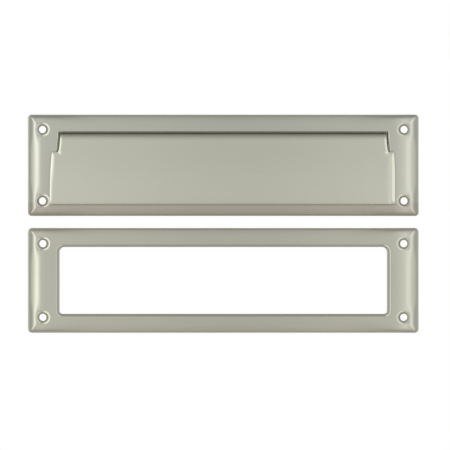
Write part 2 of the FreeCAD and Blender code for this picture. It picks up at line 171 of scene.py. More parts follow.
def make_object(name, verts, faces, sharp=SHARP_DEG):
    mesh = bpy.data.meshes.new(name)
    mesh.from_pydata([tuple(v) for v in np.asarray(verts) * MM], [], [tuple(f) for f in faces])
    mesh.update()
    obj = bpy.data.objects.new(name, mesh)
    scene.collection.objects.link(obj)
    smooth(obj, sharp)
    return obj


def tidy(obj):
    bm = bmesh.new()
    bm.from_mesh(obj.data)
    bmesh.ops.remove_doubles(bm, verts=bm.verts, dist=2e-6)
    bmesh.ops.dissolve_degenerate(bm, edges=bm.edges, dist=1e-7)
    bmesh.ops.recalc_face_normals(bm, faces=bm.faces)
    bm.to_mesh(obj.data)
    bm.free()


def union(obj, solids):
    """Joins closed solids to obj exactly; obj keeps its name."""
    for solid in solids:
        modifier = obj.modifiers.new("join", "BOOLEAN")
        modifier.operation = "UNION"
        modifier.solver = "EXACT"
        modifier.object = solid
    bpy.context.view_layer.update()
    depsgraph = bpy.context.evaluated_depsgraph_get()
    joined = bpy.data.meshes.new_from_object(obj.evaluated_get(depsgraph))
    obj.modifiers.clear()
    old = obj.data
    obj.data = joined
    bpy.data.meshes.remove(old)
    for solid in solids:
        bpy.data.objects.remove(solid)
    tidy(obj)
    smooth(obj)


# sides of a lattice cell: step to the neighbour, then the two cell corners on that side
CELL_SIDES = (
    (0, -1, (0, 0), (1, 0)),
    (1, 0, (1, 0), (1, 1)),
    (0, 1, (1, 1), (0, 1)),
    (-1, 0, (0, 1), (0, 0)),
)


class Sheet:
    """A closed sheet on a lattice of lines. Front and back share the lattice, walls close every
    border, and a square patch of cells can be swapped for rings that end in a round hole."""

    def __init__(self, us, vs):
        self.us, self.vs = us, vs
        self.keep = np.ones((len(us) - 1, len(vs) - 1), bool)
        self.patches = []

    def remove(self, mask):
        u, v = np.meshgrid((self.us[:-1] + self.us[1:]) / 2, (self.vs[:-1] + self.vs[1:]) / 2,
                           indexing="ij")
        self.keep &= ~mask(u, v)

    def patch(self, cu, cv, half, rings):
        """rings: function of (centre u, centre v, cos, sin, perimeter u, perimeter v) that gives
        a list of rings of 3-D points, front to back."""
        i0, i1 = (int(np.argmin(np.abs(self.us - p))) for p in (cu - half, cu + half))
        j0, j1 = (int(np.argmin(np.abs(self.vs - p))) for p in (cv - half, cv + half))
        self.keep[i0:i1, j0:j1] = False
        loop = [(i, j0) for i in range(i0, i1)] + [(i1, j) for j in range(j0, j1)]
        loop += [(i, j1) for i in range(i1, i0, -1)] + [(i0, j) for j in range(j1, j0, -1)]
        self.patches.append((cu, cv, loop, rings, (slice(i0, i1), slice(j0, j1))))

    def used_points(self):
        nu, nv = len(self.us), len(self.vs)
        used = np.zeros((nu, nv), bool)
        for di in (0, 1):
            for dj in (0, 1):
                used[di:nu - 1 + di, dj:nv - 1 + dj] |= self.keep
        for _, _, loop, _, _ in self.patches:
            for i, j in loop:
                used[i, j] = True
        return used

    def wall_faces(self, ids, n):
        taken = self.keep.copy()
        for *_, cells in self.patches:
            taken[cells] = True
        filled = np.pad(taken, 1)
        faces = []
        for i, j in zip(*np.nonzero(self.keep)):
            for di, dj, e0, e1 in CELL_SIDES:
                if not filled[i + 1 + di, j + 1 + dj]:
                    p0, p1 = ids[i + e0[0], j + e0[1]], ids[i + e1[0], j + e1[1]]
                    faces.append((p1, p0, p0 + n, p1 + n))
        return faces

    def build(self, front, back):
        """front, back: functions of (u, v) arrays giving arrays of 3-D points."""
        used = self.used_points()
        n = int(used.sum())
        ids = -np.ones(used.shape, int)
        ids[used] = np.arange(n)
        ii, jj = np.nonzero(used)
        u, v = self.us[ii], self.vs[jj]
        verts = [front(u, v), back(u, v)]
        count = 2 * n
        ci, cj = np.nonzero(self.keep)
        a, b, c, d = ids[ci, cj], ids[ci + 1, cj], ids[ci + 1, cj + 1], ids[ci, cj + 1]
        faces = list(zip(a, b, c, d)) + list(zip(d + n, c + n, b + n, a + n))
        faces += self.wall_faces(ids, n)
        for cu, cv, loop, rings, _ in self.patches:
            li, lj = np.array(loop).T
            pu, pv = self.us[li] - cu, self.vs[lj] - cv
            reach = np.hypot(pu, pv)
            first = ids[li, lj]
            previous = first
            k = len(loop)
            following = np.roll(np.arange(k), -1)
            for points in rings(cu, cv, pu / reach, pv / reach, pu, pv):
                verts.append(points)
                current = np.arange(count, count + k)
                count += k
                faces += list(zip(previous, previous[following], current[following], current))
                previous = current
            last = first + n
            faces += list(zip(previous, previous[following], last[following], last))
        return np.vstack(verts), faces


def ray_reach(centre, direction, outline):
    """Distance from centre to the closed outline along direction."""
    best = None
    for p, q in zip(outline[:-1], outline[1:]):
        e = q - p
        det = direction[0] * (-e[1]) + e[0] * direction[1]
        if abs(det) < 1e-12:
            continue
        w = p - centre
        s = (w[0] * (-e[1]) + e[0] * w[1]) / det
        t = (direction[0] * w[1] - direction[1] * w[0]) / det
        if s > 0 and -1e-9 <= t <= 1 + 1e-9:
            best = s if best is None else min(best, s)
    return best


def bored_profile(profile, bore):
    """Outline and bore as two rings in which each outline point faces one bore point."""
    bore_y, bore_z, bore_r = bore
    points = np.array(profile)
    angles = np.unwrap(np.arctan2(points[:, 1] - bore_z, points[:, 0] - bore_y))
    if angles[-1] < angles[0]:
        points = points[::-1]
    closed = np.vstack([points, points[:1]])
    centre = np.array([bore_y, bore_z])
    rim = []
    for a in np.linspace(0, 2 * math.pi, 48, endpoint=False):
        rim.append((a, ray_reach(centre, np.array([math.cos(a), math.sin(a)]), closed)))
    # each profile point takes the place of the rays close to it
    for y, z in points:
        a = math.atan2(z - bore_z, y - bore_y) % (2 * math.pi)
        rim = [q for q in rim
               if abs((q[0] - a + math.pi) % (2 * math.pi) - math.pi) > 0.04]
        rim.append((a, math.hypot(y - bore_y, z - bore_z)))
    rim.sort()
    outer = [(bore_y + r * math.cos(a), bore_z + r * math.sin(a)) for a, r in rim]
    inner = [(bore_y + bore_r * math.cos(a), bore_z + bore_r * math.sin(a)) for a, _ in rim]
    return outer, inner


def prism_x(name, profile, x0, x1, bore=None, bevel=0.0):
    """Closed solid: (y, z) profile drawn out along X, with an optional round bore (y, z, r)."""
    if bore is None:
        n = len(profile)
        section = profile
        faces = [tuple(range(n)), tuple(range(2 * n - 1, n - 1, -1))]
        faces += [(i, i + n, (i + 1) % n + n, (i + 1) % n) for i in range(n)]
    else:
        outer, inner = bored_profile(profile, bore)
        section = outer + inner
        k = len(outer)
        o0, i0, o1, i1 = 0, k, 2 * k, 3 * k      # first points of the outer and inner rings
        faces = []
        for i in range(k):
            j = (i + 1) % k
            faces.append((o0 + i, i0 + i, i0 + j, o0 + j))
            faces.append((o1 + i, o1 + j, i1 + j, i1 + i))
            faces.append((o0 + i, o0 + j, o1 + j, o1 + i))
            faces.append((i0 + i, i1 + i, i1 + j, i0 + j))
    verts = [(x, y, z) for x in (x0, x1) for y, z in section]
    obj = make_object(name, verts, faces)
    bm = bmesh.new()
    bm.from_mesh(obj.data)
    bmesh.ops.recalc_face_normals(bm, faces=bm.faces)
    if bevel:
        edges = [e for e in bm.edges
                 if len(e.link_faces) == 2 and e.calc_face_angle(0) > math.radians(40)]
        bmesh.ops.bevel(bm, geom=edges, offset=bevel * MM, segments=2, profile=0.5,
                        affect="EDGES", clamp_overlap=True)
    bm.to_mesh(obj.data)
    bm.free()
    return obj


def arc(cy, cz, r, start, end, n):
    """Points of an arc, angles in degrees from +Y towards +Z."""
    angles = [math.radians(start + (end - start) * i / n) for i in range(n + 1)]
    return [(cy + r * math.cos(a), cz + r * math.sin(a)) for a in angles]


# ------------------------------------------------------------------ the two plates
# dish round a screw hole: (radius, slope), steeper near the countersink
DISH_SLOPES = [(SINK_R, 0.56), (4.8, 0.40), (5.15, 0.27), (5.7, 0.21), (6.2, 0.15), (DISH_R, 0.0)]
SINK_RADII = [6.42, 6.15, 5.8, 5.4, 5.0, 4.72, 4.56, SINK_R, 4.42, 4.1, 3.6,
              HOLE_R + 0.06, HOLE_R]
# rings that close a screw hole at the back: (radius, y)
HOLE_BACK = ((HOLE_R, -0.3), (HOLE_R + 0.3, 0.0), (4.6, 0.0))


def crown_drop(d, narrow):
    """Drop of the edge below the flat face at distance d from the outline. narrow 0: wide crown,
    narrow 1: the narrower crown beside the screw holes."""
    radius, shoulder, narrow_w = 22.0, 1.6, 8.0
    d = np.clip(d, 0, None)
    full = FACE - EDGE_H
    wide = arc_sag(radius, np.clip(CROWN_W - d, 0, CROWN_W - shoulder))
    # steep shoulder along the outline
    top = arc_sag(radius, CROWN_W - shoulder)
    t = np.clip(d / shoulder, 0, 1)
    sag = 1 - (1 - t) ** 1.75
    wide = np.where(d < shoulder, full + (top - full) * (0.62 * sag + 0.38 * t), wide)
    narrow_radius = (narrow_w ** 2 + full ** 2) / (2 * full)
    return wide + (arc_sag(narrow_radius, np.clip(narrow_w - d, 0, narrow_w)) - wide) * narrow


def side_roll(d, start, tilt):
    """Slight roll-off of a stile: the slope grows from 0 at distance start from the outline to
    tilt degrees at the crown, then fades over fade_w."""
    fade_w = 6.5
    slope = math.tan(math.radians(tilt))
    span = start - CROWN_W
    q = np.clip(CROWN_W - d, 0, fade_w)
    return 0.5 * slope / span * np.clip(start - d, 0, span) ** 2 + slope * (q - q * q / (2 * fade_w))


def back_raise(distance, width):
    """1 over a solid strip of the back, 0 once past its slope."""
    return 1 - np.clip((distance - width) / BACK_STEP, 0, 1)


class Plate:
    """A hollow-backed plate with a crowned edge, four screw holes and an opening. A subclass gives
    the sizes: hole_x, hole_z are half spacings, open_* the opening, flange the width of its solid
    border at the back (only below flange_top, if given), lip_lines and bend_lines the lattice
    lines outside and inside the opening, and the drafts lift the opening's top edge."""
    flange_top = None
    front_draft = back_draft = 0.0

    def __init__(self):
        self.mid_z = (self.bottom + self.top) / 2
        self.half_h = (self.top - self.bottom) / 2

    def side_shift(self, z):
        """Outward shift of the opening's sides at height z."""
        return 0.0

    def inset(self, x, z):
        return -rounded_sdf(x, z, self.half_w, self.bottom, self.top, self.corner_r, self.corner_r)

    def from_opening(self, x, z):
        return rounded_sdf(x, z, self.open_x, self.open_bottom, self.open_top,
                           self.open_r_bottom, self.open_r_top)

    def half_lines(self, reach, hole, opening, gap):
        """Key lines from the centre out to reach."""
        pad_edges = [hole - PAD, hole + PAD]
        lines = [reach - d for d in EDGE_STEPS] + pad_edges + [hole - PAD - BACK_STEP]
        lines += [opening + t for t in self.lip_lines] + [opening - s for s in self.bend_lines]
        return clear_of(lines, pad_edges, gap)

    def lattice(self):
        pad_x, pad_z = self.hole_x - PAD - 1, self.hole_z - PAD - 1

        def gap_x(x):
            if x > pad_x:
                return 0.62
            if x > self.open_x:
                return 1.0
            return 1.6 if x > self.open_x - 6 else 4.2

        keys_x = self.half_lines(self.half_w, self.hole_x, self.open_x, 0.15)
        keys_z = [0.0]
        for sign, edge in ((1, self.open_top), (-1, self.open_bottom)):
            half = self.half_lines(self.half_h, self.hole_z, sign * (edge - self.mid_z), 0.12)
            if self.flange_top is not None:
                half += [sign * (self.flange_top + t - self.mid_z) for t in (0, BACK_STEP)]
            keys_z += [sign * z for z in half if z > 0]
        lines_z = fill_lines(keys_z, lambda z: 0.62 if abs(z) > pad_z else 3.4)
        return mirrored(fill_lines([0.0] + keys_x, gap_x)), lines_z + self.mid_z

    def bend_corners(self, u, v):
        """Rounds the outer corners and those of the opening."""
        x, z = np.array(u, float), np.array(v, float)
        side_x = np.where(u < 0, -1.0, 1.0)
        side_z = np.where(v < self.mid_z, -1.0, 1.0)
        du, dv = corner_shift(self.half_w - np.abs(u), self.half_h - np.abs(v - self.mid_z),
                              self.corner_r, 6.0, True)
        x -= side_x * du
        z -= side_z * dv
        for sign, edge, r in ((-1, self.open_bottom, self.open_r_bottom),
                              (1, self.open_top, self.open_r_top)):
            du, dv = corner_shift(self.open_x - np.abs(u), sign * (edge - v), r, 3.5, False)
            x -= np.where(side_z == sign, side_x * du, 0)
            z -= np.where(side_z == sign, sign * dv, 0)
        return x, z

    def flare(self, x, z):
        reach = 5.0
        top = self.open_top
        return x + np.sign(x) * self.side_shift(z) \
            * (1 - step(np.abs(np.abs(x) - self.open_x), 0, reach)) \
            * np.where(z > top, 1 - step(z, top, top + reach), 1.0)

    def draft(self, amount, x, above, reach):
        """Lift of points at height above the opening's top edge, fading over reach."""
        near = (np.abs(x) < self.open_x + 1.0) & (above > -0.01)
        return np.where(near, amount * (1 - step(above, 0, reach))
                        * (1 - step(np.abs(x), self.open_x - 0.6, self.open_x + 1.0)), 0)

    def face_height(self, x, z):
        abs_x, abs_z = np.abs(x), np.abs(z - self.mid_z)
        dx, dz = self.half_w - abs_x, self.half_h - abs_z
        # soften the mitre where two crowns meet, less on the left (-X)
        mitre = np.where(x < 0, 0.9, 2.2) * step(np.minimum(dx, dz), 1.0, 3.0) + 1e-6
        h = np.clip(1 - np.abs(dx - dz) / mitre, 0, 1)
        d = self.inset(x, z) - 0.25 * mitre * h * h
        narrow = np.where(dx < dz, step(abs_z, self.half_h - 27, self.half_h - 15),
                          step(abs_x, self.half_w - 62, self.half_w - 17))
        drop = crown_drop(d, narrow)
        roll = np.where(x > 0, side_roll(dx, start=23.5, tilt=3.0),
                        side_roll(dx, start=15.5, tilt=1.2))
        drop = drop + roll * np.clip(1 - drop / (FACE - EDGE_H), 0, 1)
        dish = drop_from_slopes(np.hypot(abs_x - self.hole_x, abs_z - self.hole_z),
                                DISH_SLOPES, 43)
        blend = 4.0                      # power of the soft join of dish and face
        drop = np.where(dish > 0, (drop ** blend + dish ** blend) ** (1 / blend), drop)
        return FACE - drop - self.lip(np.clip(self.from_opening(x, z), 0, None))

    def back_y(self, x, z):
        d = self.inset(x, z)
        rim = back_raise(d, BACK_RIM)
        pad = back_raise(np.maximum(self.hole_x - PAD - np.abs(x),
                                    self.hole_z - PAD - np.abs(z - self.mid_z)), 0)
        flange = back_raise(self.from_opening(x, z), self.flange)
        if self.flange_top is not None:
            flange = flange * back_raise(z, self.flange_top)
        level = np.maximum(np.maximum(rim, pad), flange)
        return FLOOR_Y * (1 - level) - 0.2 * near_edge(d, 0.25) * level

    def front(self, u, v):
        x, z = self.bend_corners(u, v)
        lift = self.draft(self.front_draft, x, v - self.open_top, 1.3)
        return np.stack([self.flare(x, z), -self.face_height(x, z), z + lift], 1)

    def back(self, u, v):
        x, z = self.bend_corners(u, v)
        lift = self.draft(self.back_draft, x, z - self.open_top, 4.0)
        return np.stack([self.flare(x, z), self.back_y(x, z), z + lift], 1)

    def hole_rings(self, cx, cz, cos, sin, pad_u, pad_v):
        rings = []
        for f in (0.34, 0.68, 1.0):      # from the square pad to the round dish
            x = cx + pad_u * (1 - f) + DISH_R * cos * f
            z = cz + pad_v * (1 - f) + DISH_R * sin * f
            rings.append(np.stack([x, -self.face_height(x, z), z], 1))
        for r in SINK_RADII:             # down the dish, then the 45 degree countersink
            dish_r = max(r, SINK_R)
            h = self.face_height(cx + dish_r * cos, cz + dish_r * sin) - (dish_r - r)
            if r == SINK_R:              # soften the edge of the sink a little
                h = h - 0.02
            rings.append(np.stack([cx + r * cos, -h, cz + r * sin], 1))
        for r, y in HOLE_BACK:
            rings.append(np.stack([cx + r * cos, np.full_like(cos, y), cz + r * sin], 1))
        return rings

    def build(self):
        sheet = Sheet(*self.lattice())
        sheet.remove(lambda u, v: (np.abs(u) < self.open_x) & (v > self.open_bottom)
                     & (v < self.open_top))
        for side_x in (-1, 1):
            for side_z in (-1, 1):
                sheet.patch(side_x * self.hole_x, self.mid_z + side_z * self.hole_z, PAD,
                            self.hole_rings)
        obj = make_object(self.name, *sheet.build(self.front, self.back))
        tidy(obj)
        return obj


# outward shift of the exterior opening's sides: (z, shift)
SIDE_SHIFT = [(-27.5, 0.0), (8.0, -0.2), (12.5, -0.9), (17.5, -1.55), (24.0, -2.0), (28.3, -2.2)]


class ExteriorPlate(Plate):
    name = "exterior_plate_metal"
    half_w, bottom, top, corner_r = PLATE_HI[0], PLATE_LO[2], PLATE_HI[2], 3.2
    hole_x, hole_z = 154.0, 30.4
    open_x, open_bottom, open_top = 142.5, -27.5, 28.3
    open_r_bottom, open_r_top = 2.5, 0.9
    lip_lines = [0, 0.04, 0.15, 0.34, 0.6, 0.75, 1.1, 1.3, 1.6, 2.0, 2.4, 3.0, 3.8]
    bend_lines = [0.25, 0.6, 1.0, 1.5, 2.0, 2.6, 3.2]
    flange = flange_top = 2.0
    front_draft, back_draft = 0.28, 1.17

    def side_shift(self, z):
        return np.interp(z, *zip(*SIDE_SHIFT))

    def lip(self, t):
        return 0.55 * quarter_round(near_edge(t, 1.3))


# rolled inner edge of the frame: (distance from the opening, slope)
FRAME_LIP = [(0.0, 1.75), (0.5, 1.15), (1.3, 0.80), (2.1, 0.52), (2.45, 0.38), (2.8, 0.10),
             (3.2, 0.0)]


class InteriorFrame(Plate):
    name = "interior_frame_metal"
    half_w, bottom, top, corner_r = FRAME_HI[0], FRAME_LO[2], FRAME_HI[2], 3.6
    hole_x, hole_z = 153.7, 31.4
    open_x, open_bottom, open_top = 139.5, FRAME_MID_Z - 28.45, FRAME_MID_Z + 28.45
    open_r_bottom, open_r_top = 2.6, 4.3
    lip_lines = [0, 0.1, 0.25, 0.5, 0.75, 1.0, 1.3, 1.6, 1.9, 2.2, 2.48, 2.75, 3.0, 3.2, 3.6,
                 4.0, 4.4, 5.0, 6.0]
    bend_lines = [0.25, 0.6, 1.0, 1.5, 2.0, 2.6, 3.2, 3.8, 4.4]
    flange = 4.0

    def lip(self, t):
        return drop_from_slopes(t, FRAME_LIP, 65)


def mirrored_prism(name, outline, side, inner, outer, bore, bevel):
    """Prism between |x| = inner and outer on one side of the middle."""
    x0, x1 = sorted((side * inner, side * outer))
    return prism_x(name, outline, x0, x1, bore, bevel)


LUG_OUTLINE = [(0.1, 10.5), (0.1, 30.3), (2.3, 30.3)]
LUG_OUTLINE += arc(AXIS_Y, AXIS_Z, 4.2, 35, -50, 12) + [(2.3, 10.5)]
FOOT_OUTLINE = [(-3.6, 12.5), (1.1, 12.5), (1.1, 26.5), (-3.6, 26.5)]


def build_exterior():
    plate = ExteriorPlate().build()
    lugs = []
    for side in (-1, 1):
        lugs.append(mirrored_prism("lug", LUG_OUTLINE, side, 139.6, 146.6,
                                   bore=(AXIS_Y, AXIS_Z, 1.55), bevel=0.25))
        lugs.append(mirrored_prism("lug_foot", FOOT_OUTLINE, side, 142.7, 146.6,
                                   bore=None, bevel=0.2))
    union(plate, lugs)
    return plate


# ------------------------------------------------------------------ flap
# A wide leaf up to SHOULDER, then a narrower neck that curls back over the rod.
WIDE_X, NECK_X, SHOULDER, BOTTOM = 146.7, 140.5, 11.2, FLAP_LO[2]
LOW_R, SHOULDER_R = 2.0, 0.5            # corner radii of the leaf
FRONT, THICK = FLAP_LO[1], 2.5
EDGE_ROUND = 0.4                        # width of the rounding right at the edges
CURL_R = AXIS_Y - FRONT
CURL_DEG = 96.0
CURL_END = AXIS_Z + CURL_R * math.radians(CURL_DEG)
FLAP_STEPS = [0, 0.07, 0.2, 0.4, 0.65, 0.95, 1.3, 1.8, 2.4, 3.1, 4.0, 4.6]


def cubic_through(points):
    """Half width as a cubic in z through four (z, half width) points."""
    z, x = (np.array(column) for column in zip(*points))
    poly = np.polyfit(z, x, len(points) - 1)
    return lambda q: np.polyval(poly, np.clip(q, z.min(), z.max()))


left_half = cubic_through([(SHOULDER, 146.0), (0.0, 147.0), (-15.0, 147.6), (BOTTOM, 147.95)])
right_half = cubic_through([(SHOULDER, 145.3), (3.0, 145.9), (-10.0, 146.25), (BOTTOM, 146.3)])
neck_half = cubic_through([(21.0, 139.1), (17.5, 139.3), (13.2, 139.9), (SHOULDER, 140.5)])


def in_leaf(z):
    return z <= SHOULDER + 1e-9


def flap_corners(u, v):
    """|x| and z with the leaf's corners rounded; z still runs along the sheet."""
    x = np.abs(u)
    du, dv = corner_shift(WIDE_X - x, v - BOTTOM, LOW_R, 5.0, True)
    du2, dv2 = corner_shift(WIDE_X - x, SHOULDER - v, SHOULDER_R, 1.2, True)
    du2, dv2 = np.where(in_leaf(v), du2, 0), np.where(in_leaf(v), dv2, 0)
    return x - du - du2, v + dv - dv2


def flap_edge_distance(x, z):
    side, low, top = WIDE_X - x, z - BOTTOM, SHOULDER - z
    to_low = np.where((side < LOW_R) & (low < LOW_R),
                      LOW_R - np.hypot(LOW_R - side, LOW_R - low), np.minimum(side, low))
    to_shoulder = np.where((side < SHOULDER_R) & (top < SHOULDER_R),
                           SHOULDER_R - np.hypot(SHOULDER_R - side, SHOULDER_R - top),
                           np.maximum(top, 0))
    to_top = np.where(x > NECK_X, to_shoulder, np.hypot(NECK_X - x, np.clip(top, 0, None)))
    return np.clip(np.where(in_leaf(z), np.minimum(to_low, to_top), NECK_X - x), 0, None)


def flap_side_shift(side, x, z):
    """Moves the straight sides of the lattice onto the measured ones."""
    curled = AXIS_Z + CURL_R * np.sin(np.clip((z - AXIS_Z) / CURL_R, 0, math.pi / 2))
    height = np.where(z > AXIS_Z, curled, z)
    wide = np.where(side < 0, left_half(height), right_half(height)) - WIDE_X
    wide = wide * (1 - step(np.abs(WIDE_X - x), 0, 6.0))
    neck = (neck_half(height) - NECK_X) * (1 - step(np.abs(NECK_X - x), 0, 8.0))
    return np.where(in_leaf(z), wide, neck)


def flap_front_depth(side, x, z, t):
    """Depth of the front face below its flat, t being the distance to the nearest edge."""
    # crown: narrower on the neck and low on the left
    width = 4.0 - 1.4 * step(z, SHOULDER, SHOULDER + 0.3) \
        - np.where(side < 0, 1.4 * step(-z, 2.0, 17.0), 0.0)
    depth = arc_sag(4.5 * width, np.clip(width - t, 0, width))
    depth = depth + 0.4 * quarter_round(near_edge(t, EDGE_ROUND))
    # deeper round along the bottom edge
    low = 1.85 * quarter_round(near_edge(np.clip(z - BOTTOM, 0, None), 4.0))
    depth = (np.clip(depth, 0, None) ** 3 + low ** 3) ** (1 / 3)
    # slight roll-off on the right
    right = np.where(side > 0, WIDE_X - x, 99.0)
    q = np.clip(9.0 - right, 0, 5.0)
    depth = depth + 0.0045 * q * q * np.clip(right / 1.5, 0, 1) * step(SHOULDER - z, 0.0, 5.0)
    return depth + 0.3 * near_edge(CURL_END - z, EDGE_ROUND)


def flap_place(u, v, back):
    side = np.sign(u)
    x, z = flap_corners(u, v)
    t = flap_edge_distance(x, z)
    if back:
        depth = THICK - 0.3 * near_edge(t, EDGE_ROUND)
    else:
        depth = flap_front_depth(side, x, z, t)
    angle = math.pi - np.clip((z - AXIS_Z) / CURL_R, 0, None)
    y = np.where(z > AXIS_Z, AXIS_Y + (CURL_R - depth) * np.cos(angle), FRONT + depth)
    height = np.where(z > AXIS_Z, AXIS_Z + (CURL_R - depth) * np.sin(angle), z)
    return np.stack([side * (x + flap_side_shift(side, x, z)), y, height], 1)


def flap_sheet():
    def gap_x(x):
        if x > NECK_X - 1:
            return 0.6
        return 0.9 if x > 136 else 5.0

    keys_x = [0.0] + [edge - t for edge in (WIDE_X, NECK_X) for t in FLAP_STEPS]
    keys_v = [BOTTOM + t for t in FLAP_STEPS] + [SHOULDER - t for t in FLAP_STEPS]
    keys_v += [SHOULDER + t for t in (0.3, 0.8, 1.5, 2.5, 3.7)]
    keys_v += [AXIS_Z + CURL_R * math.radians(a) for a in np.arange(0, CURL_DEG + 0.1, 4.0)]
    sheet = Sheet(mirrored(fill_lines(keys_x, gap_x)),
                  fill_lines(keys_v, lambda z: 4.0 if z < 8 else 1.3))
    sheet.remove(lambda u, v: (np.abs(u) > NECK_X) & (v > SHOULDER))
    verts, faces = sheet.build(lambda u, v: flap_place(u, v, False),
                               lambda u, v: flap_place(u, v, True))
    return make_object("flap_metal", verts, faces)


def build_flap():
    flap = flap_sheet()
    outline = arc(AXIS_Y, AXIS_Z, 4.5, -90, 90, 16)
    outline += [(AXIS_Y - 6.4, AXIS_Z + 6.4), (-6.05, AXIS_Z), (-6.05, 8.5)]
    ears = [mirrored_prism("ear", outline, side, 118.0, 122.0,
                           bore=(AXIS_Y, AXIS_Z, 1.56), bevel=0.25) for side in (-1, 1)]
    tidy(flap)
    union(flap, ears)
    return flap


# ------------------------------------------------------------------ torsion springs
WIRE_R, COIL_R = 0.45, 2.5
TURNS, PITCH = 10.0 - 49.3 / 360.0, 1.0
COIL_X = 134.6                          # outer end of the coil
FOOT_X, FOOT_Z = 145.2, 8.0             # end of the foot that lies along the plate's back
FOOT_BEND = 1.1
TIP_REACH, TIP_DEG = 8.42, 141.7        # inner end, seen from the axis
SPRING_SHARP_DEG = 50.0


def tube(name, path, r, seg=14):
    n = len(path)
    tangents = np.gradient(path, axis=0)
    tangents /= np.linalg.norm(tangents, axis=1)[:, None]
    normal = np.cross(tangents[0], [0.3, 0.5, 0.8])
    normal /= np.linalg.norm(normal)
    verts = []
    for point, tangent in zip(path, tangents):
        normal = normal - tangent * (normal @ tangent)
        normal /= np.linalg.norm(normal)
        side = np.cross(tangent, normal)
        for k in range(seg):
            a = 2 * math.pi * k / seg
            verts.append(point + r * (math.cos(a) * normal + math.sin(a) * side))
    faces = []
    for i in range(n - 1):
        for k in range(seg):
            q = (k + 1) % seg
            faces.append((i * seg + k, i * seg + q, (i + 1) * seg + q, (i + 1) * seg + k))
    # chamfered caps
    for row, sign in ((0, -1), (n - 1, 1)):
        ring = row * seg
        inner = len(verts)
        for k in range(seg):
            verts.append(path[row] + (verts[ring + k] - path[row]) * 0.72
                         + sign * tangents[row] * r * 0.22)
        verts.append(path[row] + sign * tangents[row] * r * 0.25)
        for k in range(seg):
            q = (k + 1) % seg
            faces.append((ring + q, ring + k, inner + k, inner + q))
            faces.append((inner + q, inner + k, inner + seg))
    return make_object(name, verts, faces, SPRING_SHARP_DEG)


def spring_path():
    """Centre line of the right spring: foot, bend, leg up to the coil, coil, straight tip."""
    foot_y = FLOOR_Y + WIRE_R + 0.05
    dy, dz = foot_y - AXIS_Y, FOOT_Z - AXIS_Z
    coil_start = math.atan2(dz, dy) % (2 * math.pi) - math.acos(COIL_R / math.hypot(dy, dz))

    def on_axis(x, r, a):
        return np.array([x, AXIS_Y + r * math.cos(a), AXIS_Z + r * math.sin(a)])

    points = [(FOOT_X - (FOOT_X - COIL_X - FOOT_BEND) * i / 12, foot_y, FOOT_Z)
              for i in range(13)]
    corner = np.array([COIL_X, foot_y, FOOT_Z])
    up = on_axis(COIL_X, COIL_R, coil_start) - corner
    leg = np.linalg.norm(up)
    up = up / leg
    for i in range(1, 8):
        a = math.pi / 2 * i / 8
        points.append(corner + np.array([FOOT_BEND * (1 - math.sin(a)), 0, 0])
                      + up * FOOT_BEND * (1 - math.cos(a)))
    points += [corner + up * (FOOT_BEND + (leg - FOOT_BEND) * i / 8) for i in range(9)]
    n = int(TURNS * 28)
    points += [on_axis(COIL_X - PITCH * TURNS * i / n, COIL_R,
                       coil_start - 2 * math.pi * TURNS * i / n) for i in range(1, n + 1)]
    tip = on_axis(COIL_X - PITCH * TURNS, TIP_REACH, math.radians(TIP_DEG))
    inner = points[-1]
    points += [inner + (tip - inner) * i / 8 for i in range(1, 9)]
    return np.array(points)


def build_springs():
    path = spring_path()
    springs = {}
    for side, sign in (("right", 1), ("left", -1)):
        wire = tube("torsion_spring_%s_wire" % side, path * [sign, 1, 1], WIRE_R)
        tidy(wire)
        smooth(wire, SPRING_SHARP_DEG)
        springs[side] = wire
    return springs


plate = build_exterior()
rim = InteriorFrame().build()
smooth(rim)
flap = build_flap()
springs = build_springs()


